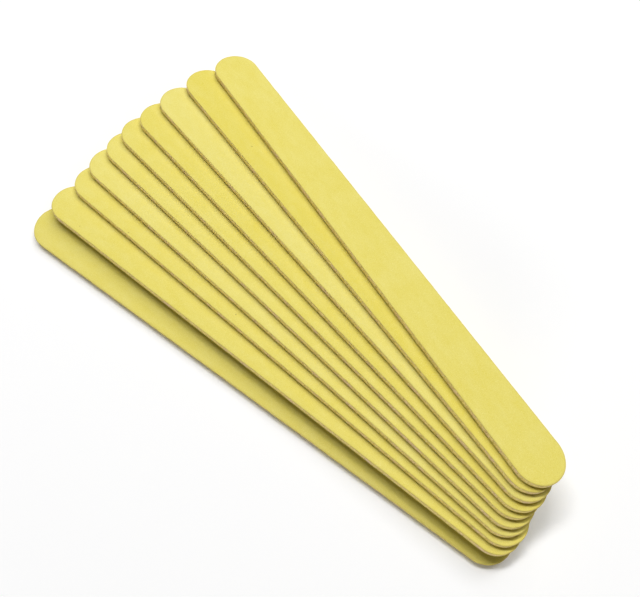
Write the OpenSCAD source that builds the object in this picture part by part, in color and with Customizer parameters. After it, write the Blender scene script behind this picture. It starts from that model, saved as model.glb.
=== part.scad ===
// Ten emery boards, fanned out from one heaped end as they lie on a table.
// Board 1 lies flat. Boards 2 to 10 lie face to face on it and lean together over its edge,
// until the round far corners on the open side of the fan touch the table.
// X runs along board 1 to the heaped ends, Y to the open side, and Z = 0 is the table.

/* [Board] */
// Length of a board from tip to tip
board_len = 178; // [120:1:200]
// Width of a board, and the diameter of its round ends
board_w = 15.5; // [12:0.5:24]
// Thickness of the stiff core
core_t = 1.5; // [0.8:0.1:4]
// Thickness of each abrasive paper, with its grit and glue
paper_t = 0.24; // [0.1:0.02:0.6]

/* [Fan] */
// Turn of boards 2, 3 and 4, each past the board beneath, in degrees
turn_low = [2.3, 2.7, 2.0]; // [0.5:0.1:4]
// Turn of boards 5, 6 and 7, each past the board beneath, in degrees
turn_mid = [2.2, 1.7, 2.1]; // [0.5:0.1:4]
// Turn of boards 8, 9 and 10, each past the board beneath, in degrees
turn_top = [2.4, 3.4, 3.3]; // [0.5:0.1:4]
// Step to the open side of the heaped ends of boards 2, 3 and 4
step_low = [2.7, 2.4, 1.9]; // [1:0.1:4]
// Step to the open side of the heaped ends of boards 5, 6 and 7
step_mid = [1.8, 2.2, 1.9]; // [1:0.1:4]
// Step to the open side of the heaped ends of boards 8, 9 and 10
step_top = [2.2, 2.0, 2.0]; // [1:0.1:4]
// Slip along board 1 of the heaped ends of boards 2, 3 and 4
slip_low = [0.1, 0.1, -1.1]; // [-1.5:0.1:1.5]
// Slip along board 1 of the heaped ends of boards 5, 6 and 7
slip_mid = [-0.5, -0.4, 0.2]; // [-1.5:0.1:1.5]
// Slip along board 1 of the heaped ends of boards 8, 9 and 10
slip_top = [-0.4, -0.6, 0.8]; // [-1.5:0.1:1.5]
// Angle between board 1 and the level line about which the others lean, in degrees
lean_bearing = 0.56; // [0:0.01:1]

/* [Fit] */
// Space between the faces of two boards that lie on each other
rest_gap = 0.05; // [0.02:0.01:0.2]

/* [Hidden] */
$fn = 96;
core_colour = [0.79, 0.68, 0.52];
paper_colour = [0.93, 0.87, 0.47];

// A board, from its underside up
board_t = core_t + 2*paper_t;
pitch = board_t + rest_gap;
end_x = (board_len - board_w)/2;

// Board 2 is entry 1, so entry 0 is board 1, which neither turns nor steps
turns = concat([0], turn_low, turn_mid, turn_top);
steps = concat([0], step_low, step_mid, step_top);
slips = concat([0], slip_low, slip_mid, slip_top);
last = len(turns) - 1;

function sum_to(list, i) = i < 0 ? 0 : list[i] + sum_to(list, i - 1);
function heading(i) = sum_to(turns, i);
function heaped_end(i) = [end_x + sum_to(slips, i), sum_to(steps, i)];
function far_end(i) = heaped_end(i) + 2*end_x*[-cos(heading(i)), sin(heading(i))];

// The boards lean about a level line through this corner of board 1's upper face
lean_corner = [end_x, board_w/2, board_t];
open_side = [sin(lean_bearing), cos(lean_bearing)];

// How far a board's far end reaches past that line, and its underside's height over board 1
function reach(i) = (far_end(i) - [lean_corner.x, lean_corner.y])*open_side + board_w/2;
function rise(i) = i*pitch - board_t;
// The lean at which board i alone would touch the table
function lean_of(i) = atan2(rise(i), reach(i)) + asin(board_t/norm([rise(i), reach(i)]));
lean = min([for (i = [1:last]) lean_of(i)]);

function board_name(i) = str("board_", i < 9 ? "0" : "", i + 1);

// Outline of a board, its middle on the origin and its length along X
module outline() {
    square([2*end_x, board_w], center = true);
    for (side = [-1, 1])
        translate([side*end_x, 0])
            circle(d = board_w);
}

// One die-cut layer of a board
module layer(from_z, thickness) {
    translate([0, 0, from_z])
        linear_extrude(thickness)
            outline();
}

module lower_paper() {
    color(paper_colour)
        layer(0, paper_t);
}

module core() {
    color(core_colour)
        layer(paper_t, core_t);
}

module upper_paper() {
    color(paper_colour)
        layer(paper_t + core_t, paper_t);
}

// Tips boards 2 to 10 as one pile over the edge of board 1
module leaning() {
    translate(lean_corner)
        rotate([0, 0, -lean_bearing])
            rotate([-lean, 0, 0])
                rotate([0, 0, lean_bearing])
                    translate(-lean_corner)
                        children();
}

// Lays a board in the pile, flat on board 1
module fanned(i) {
    translate([heaped_end(i).x, heaped_end(i).y, i*pitch])
        rotate([0, 0, -heading(i)])
            translate([-end_x, 0, 0])
                children();
}

// Puts a piece of board i where it lies in the fan
module in_fan(i) {
    if (i == 0)
        children();
    else
        leaning()
            fanned(i)
                children();
}

for (i = [0:last]) {
    in_fan(i) lower_paper();
    in_fan(i) core();
    in_fan(i) upper_paper();
}
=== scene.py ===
import math

import bpy
import numpy as np
from mathutils import Matrix, Vector


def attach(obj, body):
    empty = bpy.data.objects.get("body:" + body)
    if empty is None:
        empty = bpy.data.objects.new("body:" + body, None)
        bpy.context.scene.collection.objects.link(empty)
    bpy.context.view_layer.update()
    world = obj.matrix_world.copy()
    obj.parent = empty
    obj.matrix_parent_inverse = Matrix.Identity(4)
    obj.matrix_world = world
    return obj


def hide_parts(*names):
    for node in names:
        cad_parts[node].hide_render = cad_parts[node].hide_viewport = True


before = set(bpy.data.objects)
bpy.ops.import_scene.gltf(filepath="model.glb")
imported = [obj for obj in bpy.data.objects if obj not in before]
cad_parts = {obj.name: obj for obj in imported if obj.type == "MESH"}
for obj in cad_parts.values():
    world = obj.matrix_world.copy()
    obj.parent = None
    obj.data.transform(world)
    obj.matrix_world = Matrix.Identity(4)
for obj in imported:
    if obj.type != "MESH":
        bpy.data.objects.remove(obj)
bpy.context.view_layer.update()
print("frame loaded")

mm = 0.001
boardCount = 10


# how each board lies, read from the frame

def pointsOf(number, layer):
    # a CAD mesh is loose triangles, so points that fall together are made one
    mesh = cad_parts[f"board_{number:02d}_{layer}"].data
    return np.unique(np.array([vertex.co for vertex in mesh.vertices]).round(8), axis=0)


def layOf(number):
    lower, core, upper = (
        pointsOf(number, layer) for layer in ("lower_paper", "core", "upper_paper")
    )
    along = np.linalg.svd(core - core.mean(0))[2][0]
    along *= np.sign(along[0])
    up = upper.mean(0) - lower.mean(0)
    up -= along * (up @ along)
    up /= np.linalg.norm(up)
    across = np.cross(up, along)
    centre = np.zeros(3)
    spans = []
    for axis in (along, across, up):
        reach = np.concatenate((lower, core, upper)) @ axis
        centre += axis * (reach.max() + reach.min()) / 2
        spans.append(reach.max() - reach.min())
    turn = Matrix((along, across, up)).transposed().to_4x4()
    coreReach = core @ up
    return {
        "place": Matrix.Translation(Vector(centre)) @ turn,
        "centre": Vector(centre),
        "turn": turn.to_euler(),
        "length": spans[0],
        "width": spans[1],
        "height": spans[2],
        "coreHeight": coreReach.max() - coreReach.min(),
    }


lays = {number: layOf(number) for number in range(1, boardCount + 1)}
boardSize = lays[1]          # all ten are alike
radius = boardSize["width"] / 2
endX = (boardSize["length"] - boardSize["width"]) / 2          # centre of a round end
paperHeight = (boardSize["height"] - boardSize["coreHeight"]) / 2
print("boards found:", len(lays))


# shader maths: a wire is a node's output that sums can be written with

class Wire:
    def __init__(self, finish, socket):
        self.finish = finish
        self.socket = socket

    def __add__(self, other):
        return self.finish.sums("ADD", self, other)

    __radd__ = __add__

    def __sub__(self, other):
        return self.finish.sums("SUBTRACT", self, other)

    def __rsub__(self, other):
        return self.finish.sums("SUBTRACT", other, self)

    def __mul__(self, other):
        return self.finish.sums("MULTIPLY", self, other)

    __rmul__ = __mul__


class Finish:
    def __init__(self, owner, shader="Principled BSDF"):
        # the owner is a new material or world
        owner.use_nodes = True
        self.owner = owner
        self.tree = owner.node_tree
        self.shader = self.tree.nodes[shader]

    def feed(self, socket, value):
        if isinstance(value, Wire):
            self.tree.links.new(value.socket, socket)
        else:
            socket.default_value = value

    def surface(self, **values):
        for name, value in values.items():
            self.feed(self.shader.inputs[name.replace("_", " ")], value)

    def node(self, kind, settings=None, sockets=None, output=0):
        made = self.tree.nodes.new(kind)
        for name, value in (settings or {}).items():
            setattr(made, name, value)
        for name, value in (sockets or {}).items():
            self.feed(made.inputs[name], value)
        return Wire(self, made.outputs[output])

    def sums(self, operation, *values):
        return self.node("ShaderNodeMath", {"operation": operation}, dict(enumerate(values)))

    def smooth(self, value, low, high):
        return self.node(
            "ShaderNodeMapRange", {"interpolation_type": "SMOOTHSTEP"},
            {"Value": value, "From Min": low, "From Max": high},
        )

    def blend(self, share, first, second):
        # sockets 6 and 7 and output 2 are the colours
        return self.node(
            "ShaderNodeMix", {"data_type": "RGBA"}, {0: share, 6: first, 7: second}, 2,
        )

    def tint(self, colour, pattern, look):
        # the tint grows to its full share as the pattern goes from one level to the other
        share = self.smooth(pattern, *look["levels"]) * look["share"]
        return self.blend(share, colour, look["colour"])

    def noise(self, where, scale, detail=2.0, roughness=0.5):
        return self.node(
            "ShaderNodeTexNoise", {},
            {"Vector": where, "Scale": scale, "Detail": detail, "Roughness": roughness},
        )

    def stretched(self, where, amounts):
        return self.node(
            "ShaderNodeVectorMath", {"operation": "MULTIPLY"}, {0: where, 1: amounts},
        )

    def shifted(self, where, amount):
        return self.node(
            "ShaderNodeVectorMath", {"operation": "ADD"}, {0: where, 1: (amount, amount, amount)},
        )

    def around(self, centre, turn=(0, 0, 0), unit=1):
        # Object coordinates from a centre, along its own axes and in its own unit
        return self.node(
            "ShaderNodeMapping", {"vector_type": "TEXTURE"},
            {"Vector": self.node("ShaderNodeTexCoord", output="Object"), "Location": centre,
             "Rotation": turn, "Scale": (unit, unit, unit)},
        )

    def part(self, vector, axis):
        return self.node("ShaderNodeSeparateXYZ", {}, {0: vector}, axis)

    def spots(self, where, scale, size, share, softness=0.01):
        # small soft dots, one in each of that share of the cells
        cells = {"Vector": where, "Scale": scale}
        lot = self.part(self.node("ShaderNodeTexVoronoi", {}, cells, "Color"), "X")
        chosen = self.smooth(lot, 1 - share, 1 - share + softness)
        fromMiddle = self.node("ShaderNodeTexVoronoi", {}, cells, "Distance")
        return chosen * (1 - self.smooth(fromMiddle, 0, size))


def paint(red, green, blue):
    # a colour as a screen shows it, 0 to 255, made linear
    shares = [value / 255 for value in (red, green, blue)]
    return [
        share / 12.92 if share <= 0.04045 else ((share + 0.055) / 1.055) ** 2.4
        for share in shares
    ] + [1]


# abrasive paper: a yellow coat of fine grit on a thin tan backing
# its lengths are millimetres, and its patterns have their scale per millimetre

paperLook = {
    "boardStep": 36.0,       # from one board's place in the patterns to the next one's
    # tone of the coat, 0 deep and 1 pale
    "deep": paint(229, 213, 86),
    "pale": paint(235, 223, 122),
    "boardTone": [0.5, 0.4, 0.45, 0.75, 0.55, 0.45, 0.3, 0.8, 0.15, 0.45],
    "mottle": {"scale": 0.1, "detail": 3.0, "roughness": 0.55},
    "mottleTone": 0.7,
    "drift": {"scale": 0.45, "detail": 3.0},
    "driftStretch": (0.4, 1.0, 1.0),
    "driftTone": 0.9,
    # grit, dull in its hollows and bright on its crests
    "grain": {"scale": 7.5, "detail": 2.0, "roughness": 0.7},
    "dust": {"colour": paint(196, 177, 76), "levels": (0.52, 0.78), "share": 0.5},
    "glint": {"colour": paint(252, 246, 196), "levels": (0.48, 0.25), "share": 0.5},
    # dark specks all over and pale chips along the rim: their size is in cells
    "specks": {"scale": 0.16, "size": 0.06, "share": 0.35},
    "speckColour": paint(150, 134, 60),
    "speckShare": 0.7,
    "chips": {"scale": 0.55, "size": 0.14, "share": 0.16},
    "chipColour": paint(250, 242, 205),
    # the rim: a darker band along the cut, painted shade where the rounded rim turns from the
    # light; on the lower paper it is painted much darker and more olive, as the shade in the
    # crease under each board
    "rimWidth": 0.75,
    "rimShadeShare": 0.7,
    "rimShadeColour": paint(208, 190, 96),
    "lowerRimShadeColour": paint(150, 134, 6),
    "rimLevels": (-0.5, 0.5),
    # the backing shows at the cut, up to where the coat starts
    "backing": paint(222, 200, 142),
    "coatLevels": (0.85, 0.88),
    "grainHeight": 0.8,
    "mottleHeight": 0.3,
    "bumpDepth": 0.05 * mm,
    "roughness": 0.78,
    "specular": 0.4,
}


def paperFinish(number):
    look = paperLook
    finish = Finish(bpy.data.materials.new(f"abrasive_paper_{number:02d}"))
    here = finish.around(lays[number]["centre"], lays[number]["turn"], mm)
    moved = finish.shifted(here, look["boardStep"] * number)
    along, across, up = (finish.part(here, axis) for axis in "XYZ")

    # how far in from the cut edge
    pastEnd = finish.sums("MAXIMUM", finish.sums("ABSOLUTE", along) - endX / mm, 0.0)
    inward = radius / mm - finish.sums("SQRT", pastEnd * pastEnd + across * across)
    rim = 1 - finish.smooth(inward, 0.0, look["rimWidth"])

    mottle = finish.noise(moved, **look["mottle"])
    drift = finish.noise(finish.stretched(moved, look["driftStretch"]), **look["drift"])
    grain = finish.noise(moved, **look["grain"])
    speck = finish.spots(moved, **look["specks"])
    chip = finish.spots(moved, **look["chips"]) * rim

    tone = look["boardTone"][number - 1]
    tone = tone + (mottle - 0.5) * look["mottleTone"] + (drift - 0.5) * look["driftTone"]
    colour = finish.blend(tone, look["deep"], look["pale"])
    colour = finish.tint(colour, grain, look["dust"])
    colour = finish.tint(colour, grain, look["glint"])
    colour = finish.blend(speck * look["speckShare"], colour, look["speckColour"])
    # painted shade: the coat darkens towards the cut rim, far darker and more olive on the lower
    # paper
    upper = finish.smooth(up, *look["rimLevels"])
    rimShadeColour = finish.blend(upper, look["lowerRimShadeColour"], look["rimShadeColour"])
    colour = finish.blend(rim * look["rimShadeShare"], colour, rimShadeColour)
    colour = finish.blend(chip, colour, look["chipColour"])
    coat = finish.smooth(finish.sums("ABSOLUTE", up), *look["coatLevels"])
    colour = finish.blend(coat, look["backing"], colour)

    height = grain * look["grainHeight"] + mottle * look["mottleHeight"] - speck
    bump = finish.node("ShaderNodeBump", {}, {"Height": height, "Distance": look["bumpDepth"]})
    finish.surface(
        Base_Color=colour, Normal=bump,
        Roughness=look["roughness"], Specular_IOR_Level=look["specular"],
    )
    return finish.owner


# core: a strip of pressed fibre, raw where it is cut, in the same units as the paper

coreLook = {
    "boardStep": 53.0,
    # long fibres, small blobs and wide patches
    "fibres": {"scale": 1.0, "detail": 4.0, "roughness": 0.65},
    "fibreStretch": (0.8, 2.5, 4.0),
    "blobs": {"scale": 1.9, "detail": 2.0, "roughness": 0.65},
    "patches": {"scale": 0.25, "detail": 2.0},
    "patchShift": 9.0,
    "mid": paint(238, 214, 124),
    "light": {"colour": paint(246, 227, 146), "levels": (0.35, 0.65), "share": 1.0},
    "pink": {"colour": paint(238, 209, 176), "levels": (0.48, 0.68), "share": 0.8},
    "dark": {"colour": paint(164, 140, 62), "levels": (0.53, 0.68), "share": 0.6},
    "pale": {"colour": paint(252, 241, 206), "levels": (0.45, 0.33), "share": 0.5},
    # painted shade: the lower part of the cut is drawn darker and more olive, as the shade
    # towards the crease under it, up to a line that waves with the blobs
    "low": {"colour": paint(165, 149, 12), "levels": (-0.1, -0.75), "share": 0.6},
    "shadeWave": 0.8,
    "bumpDepth": 0.05 * mm,
    "roughness": 0.9,
    "specular": 0.15,
}


def coreFinish(number):
    look = coreLook
    finish = Finish(bpy.data.materials.new(f"core_edge_{number:02d}"))
    here = finish.around(lays[number]["centre"], lays[number]["turn"], mm)
    moved = finish.shifted(here, look["boardStep"] * number)
    fibres = finish.noise(finish.stretched(moved, look["fibreStretch"]), **look["fibres"])
    blobs = finish.noise(moved, **look["blobs"])
    patches = finish.noise(finish.shifted(moved, look["patchShift"]), **look["patches"])
    creaseShadeHeight = finish.part(here, "Z") + (blobs - 0.5) * look["shadeWave"]
    colour = finish.tint(look["mid"], fibres, look["light"])
    colour = finish.tint(colour, patches, look["pink"])
    # painted shade, darker and more olive down the cut towards the crease
    colour = finish.tint(colour, creaseShadeHeight, look["low"])
    colour = finish.tint(colour, blobs, look["dark"])
    colour = finish.tint(colour, blobs, look["pale"])
    bump = finish.node(
        "ShaderNodeBump", {}, {"Height": fibres + blobs, "Distance": look["bumpDepth"]},
    )
    finish.surface(
        Base_Color=colour, Normal=bump,
        Roughness=look["roughness"], Specular_IOR_Level=look["specular"],
    )
    return finish.owner


# small helpers for modelling

def deselectAll():
    if bpy.context.object and bpy.context.object.mode != "OBJECT":
        bpy.ops.object.mode_set(mode="OBJECT")
    bpy.ops.object.select_all(action="DESELECT")


def workOn(piece):
    deselectAll()
    piece.select_set(True)
    bpy.context.view_layer.objects.active = piece


def editOnly(piece, kind, wanted):
    # goes to edit mode with just the wanted edges or faces selected
    workOn(piece)
    bpy.ops.object.mode_set(mode="EDIT")
    bpy.ops.mesh.select_mode(type=kind)
    bpy.ops.mesh.select_all(action="DESELECT")
    bpy.ops.object.mode_set(mode="OBJECT")
    mesh = piece.data
    for shape in mesh.edges if kind == "EDGE" else mesh.polygons:
        shape.select = wanted(*(mesh.vertices[index].co for index in shape.vertices))
    bpy.ops.object.mode_set(mode="EDIT")


def applyModifiers(piece):
    workOn(piece)
    for modifier in list(piece.modifiers):
        bpy.ops.object.modifier_apply(modifier=modifier.name)


# one layer of a board, lying flat: half a disc, drawn out to the middle and mirrored

layerShape = {
    "arcVertices": 128,
    "stepAlong": 0.4 * mm,
    "near": 0.01 * mm,                  # closer than this is the same place
    "nearlyAll": 0.9,                   # an edge that spans this share of a length spans it
    "rings": (0.35 * mm, 0.05 * mm),
    "wornWidth": 0.3 * mm,
    "tall": 100,                        # how many times taller than it is while it is worn
    "smoothTo": math.radians(35),
}


def flatLayer(layer):
    near = layerShape["near"]
    nearlyAll = layerShape["nearlyAll"]
    thickness = layer["thickness"]
    deselectAll()
    bpy.ops.mesh.primitive_cylinder_add(
        vertices=layerShape["arcVertices"], radius=radius, depth=thickness,
        end_fill_type="NGON", location=(0, 0, 0),
    )
    flat = bpy.context.object
    bpy.ops.object.mode_set(mode="EDIT")
    bpy.ops.mesh.select_all(action="SELECT")
    bpy.ops.mesh.bisect(
        plane_co=(0, 0, 0), plane_no=(1, 0, 0), clear_inner=True, threshold=1e-7,
    )
    bpy.ops.mesh.select_all(action="SELECT")
    bpy.ops.transform.translate(value=(endX, 0, 0))

    # rims pressed round by the die
    rims = ((thickness / 2, layer["upperRound"]), (-thickness / 2, layer["lowerRound"]))
    for level, rounding in rims:
        if rounding:
            editOnly(flat, "EDGE", lambda first, second: (
                abs(first.z - level) < near and abs(second.z - level) < near
                and abs(first.x + second.x - 2 * endX) > near
            ))
            bpy.ops.mesh.bevel(offset=rounding["width"], segments=rounding["segments"])

    # two rings inside each rim, so that the faces are flat right up to it
    editOnly(flat, "FACE", lambda *corners: all(
        abs(corner.z - corners[0].z) < near for corner in corners
    ))
    for width in layerShape["rings"]:
        bpy.ops.mesh.inset(thickness=width, use_boundary=False)
    if layer["rows"]:
        editOnly(flat, "EDGE", lambda first, second: (
            abs(first.z - second.z) > thickness * nearlyAll
        ))
        bpy.ops.mesh.subdivide(number_cuts=layer["rows"])

    # the open side goes to the middle of the board, in even steps
    editOnly(flat, "EDGE", lambda first, second: (
        abs(first.x - endX) < near and abs(second.x - endX) < near
    ))
    bpy.ops.mesh.extrude_region_move(TRANSFORM_OT_translate={"value": (-endX, 0, 0)})
    editOnly(flat, "EDGE", lambda first, second: abs(first.x - second.x) > endX * nearlyAll)
    bpy.ops.mesh.subdivide(number_cuts=round(endX / layerShape["stepAlong"]))
    bpy.ops.object.mode_set(mode="OBJECT")
    flat.modifiers.new("mirror", "MIRROR").merge_threshold = near
    applyModifiers(flat)

    # how near each vertex is to the cut edge, for the wear
    edge = flat.vertex_groups.new(name="cut edge")
    for vertex in flat.data.vertices:
        inward = radius - math.hypot(max(abs(vertex.co.x) - endX, 0), vertex.co.y)
        edge.add([vertex.index], max(0.0, 1 - inward / layerShape["wornWidth"]), "REPLACE")

    # the mesh is drawn out tall and its object squeezed back, so that wear goes inwards
    # and not up or down
    bpy.ops.object.mode_set(mode="EDIT")
    bpy.ops.mesh.select_all(action="SELECT")
    bpy.ops.transform.resize(value=(1, 1, layerShape["tall"]), center_override=(0, 0, 0))
    bpy.ops.object.mode_set(mode="OBJECT")
    flat.scale.z = 1 / layerShape["tall"]
    return flat


# each board's own wear: the cut edge goes in and out a little, and never past the clean cut

edgeWear = {
    "boardStep": (0.31, 0.17, 0.05),    # from one board's place in the clouds to the next
    "kinds": {
        "waves": {"size": 3.0 * mm, "depth": 0.14 * mm, "wholeBoard": True},
        "nicks": {"size": 0.5 * mm, "depth": 0.08 * mm, "wholeBoard": False},
    },
    "cloudDetail": 2,
    "cleanCut": 1.0,                    # brightness of the clouds that leaves the edge alone
}


def wearEdge(piece, number, layer):
    for name, wear in edgeWear["kinds"].items():
        seed = number if wear["wholeBoard"] else number + layer["level"] / mm
        piece.location = [seed * step for step in edgeWear["boardStep"]]
        cloud = bpy.data.textures.new(f"{piece.name}_{name}", "CLOUDS")
        cloud.noise_scale = wear["size"]
        cloud.noise_depth = edgeWear["cloudDetail"]
        displace = piece.modifiers.new(name, "DISPLACE")
        displace.texture = cloud
        displace.texture_coords = "GLOBAL"
        displace.vertex_group = "cut edge"
        displace.mid_level = edgeWear["cleanCut"]
        displace.strength = wear["depth"] * layer["wear"]
        applyModifiers(piece)
    piece.vertex_groups.clear()
    piece.location = (0, 0, 0)
    bpy.ops.object.transform_apply(location=False, rotation=False, scale=True)


sharpRim = {"width": 0.02 * mm, "segments": 1}

layers = {
    "upper_paper": {
        "name": "upper_abrasive", "slot": "abrasive_paper", "finish": paperFinish,
        "thickness": paperHeight, "level": (boardSize["coreHeight"] + paperHeight) / 2,
        "upperRound": {"width": 0.2 * mm, "segments": 4}, "lowerRound": sharpRim,
        "rows": 0, "wear": 1.1,
    },
    "core": {
        "name": "fibre_core", "slot": "core", "finish": coreFinish,
        "thickness": boardSize["coreHeight"], "level": 0,
        "upperRound": None, "lowerRound": None,
        "rows": 7, "wear": 0.7,
    },
    "lower_paper": {
        "name": "lower_abrasive", "slot": "abrasive_paper", "finish": paperFinish,
        "thickness": paperHeight, "level": -(boardSize["coreHeight"] + paperHeight) / 2,
        "upperRound": sharpRim, "lowerRound": {"width": 0.2 * mm, "segments": 3},
        "rows": 0, "wear": 1.1,
    },
}


def placeLayer(flat, layer, number):
    # a copy of the flat layer with its own mesh, worn, and set in its place in the fan
    piece = flat.copy()
    piece.data = flat.data.copy()
    piece.name = piece.data.name = f"{layer['name']}_{number:02d}"
    bpy.context.collection.objects.link(piece)
    wearEdge(piece, number, layer)
    piece.matrix_world = lays[number]["place"] @ Matrix.Translation((0, 0, layer["level"]))
    workOn(piece)
    bpy.ops.object.transform_apply(location=True, rotation=True, scale=True)
    bpy.ops.object.shade_smooth_by_angle(angle=layerShape["smoothTo"])
    piece.data.materials.append(layer["finish"](number))
    return piece


for node, layer in layers.items():
    flat = flatLayer(layer)
    for number in lays:
        piece = placeLayer(flat, layer, number)
        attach(piece, f"board_{number:02d}")
        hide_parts(f"board_{number:02d}_{node}")
    bpy.data.objects.remove(flat)
    print(layer["name"], "made for every board")


# table: plain and pale, white to the camera but for the shadows around the fan

tableLook = {
    "size": 6.0,
    "top": -0.02 * mm,                  # just clear of the lowest board
    "colour": (0.9, 0.9, 0.9, 1),
    "white": (1, 1, 1, 1),
    "black": (0, 0, 0, 1),
    "lift": (0.04, 0.04, 0.04, 1),
    "fanCentre": (2.0 * mm, 30.0 * mm, 0),
    "shadedTo": 100 * mm,
    "whiteFrom": 210 * mm,
    "background": ("Is Camera Ray", "Is Glossy Ray", "Is Transmission Ray"),
}


def makeTable():
    look = tableLook
    deselectAll()
    bpy.ops.mesh.primitive_plane_add(size=look["size"], location=(0, 0, look["top"]))
    table = bpy.context.object
    table.name = "table"
    finish = Finish(bpy.data.materials.new("pale_table"))
    seen = 0.0
    for ray in look["background"]:
        seen = finish.sums("MAXIMUM", seen, finish.node("ShaderNodeLightPath", output=ray))
    away = finish.node(
        "ShaderNodeVectorMath", {"operation": "LENGTH"}, {0: finish.around(look["fanCentre"])},
        "Value",
    )
    far = finish.smooth(away, look["shadedTo"], look["whiteFrom"])
    colour = finish.blend(far, look["white"], look["black"])
    glow = finish.blend(far, look["lift"], look["white"])
    finish.surface(
        Base_Color=finish.blend(seen, look["colour"], colour),
        Emission_Color=finish.blend(seen, look["black"], glow),
        Emission_Strength=1.0, Roughness=1.0, Specular_IOR_Level=0.0,
    )
    table.data.materials.append(finish.owner)


makeTable()
print("table made")


# light: a long strip and a broad soft lamp over the open side of the fan, a low one opposite,
# and a faint dome that is white to the camera

lightLook = {
    "colour": (1, 1, 1, 1),
    "dome": 0.05,
    "background": 1.0,
    "aim": Vector((0.0, 0.03, 0.0)),
    "distance": 2.4,
    "lamps": {
        "strip_lamp": {
            "from": Vector((-0.42, 0.31, 0.85)), "width": 1.3, "height": 0.3, "power": 32.0,
        },
        "soft_lamp": {
            "from": Vector((-0.06, 0.67, 0.74)), "width": 1.5, "height": 1.5, "power": 35.0,
        },
        "low_lamp": {
            "from": Vector((0.45, -0.87, 0.18)), "width": 1.2, "height": 0.6, "power": 19.0,
        },
    },
}


def makeLight():
    dome = Finish(bpy.data.worlds.new("pale_dome"), "Background")
    bpy.context.scene.world = dome.owner
    strength = dome.node("ShaderNodeMapRange", {}, {
        "Value": dome.node("ShaderNodeLightPath", output="Is Camera Ray"),
        "To Min": lightLook["dome"], "To Max": lightLook["background"],
    })
    dome.surface(Color=lightLook["colour"], Strength=strength)

    for name, look in lightLook["lamps"].items():
        deselectAll()
        toLamp = look["from"].normalized()
        place = lightLook["aim"] + toLamp * lightLook["distance"]
        bpy.ops.object.light_add(type="AREA", location=place)
        lamp = bpy.context.object
        lamp.name = name
        lamp.data.shape = "RECTANGLE"
        lamp.data.size = look["width"]
        lamp.data.size_y = look["height"]
        lamp.data.energy = look["power"]
        lamp.rotation_euler = (-toLamp).to_track_quat("-Z", "Y").to_euler()


makeLight()
print("light made")


# camera, at the photograph's viewing angle

cameraLook = {
    "place": Vector((43.26, -26.44, 195.39)) * mm,
    "aim": Vector((2.40, 30.64, 0.0)) * mm,
    "lens": 36.77,
    "sensor": 36,
    "nearest": 1 * mm,
}


def makeCamera():
    look = cameraLook
    bpy.ops.object.camera_add(location=look["place"])
    camera = bpy.context.object
    camera.name = "camera"
    camera.data.lens = look["lens"]
    camera.data.sensor_width = look["sensor"]
    camera.data.sensor_fit = "HORIZONTAL"
    camera.data.clip_start = look["nearest"]
    toAim = look["aim"] - look["place"]
    camera.rotation_euler = toAim.to_track_quat("-Z", "Y").to_euler()
    bpy.context.scene.camera = camera


makeCamera()
bpy.context.scene.view_settings.view_transform = "Standard"
print("camera made")
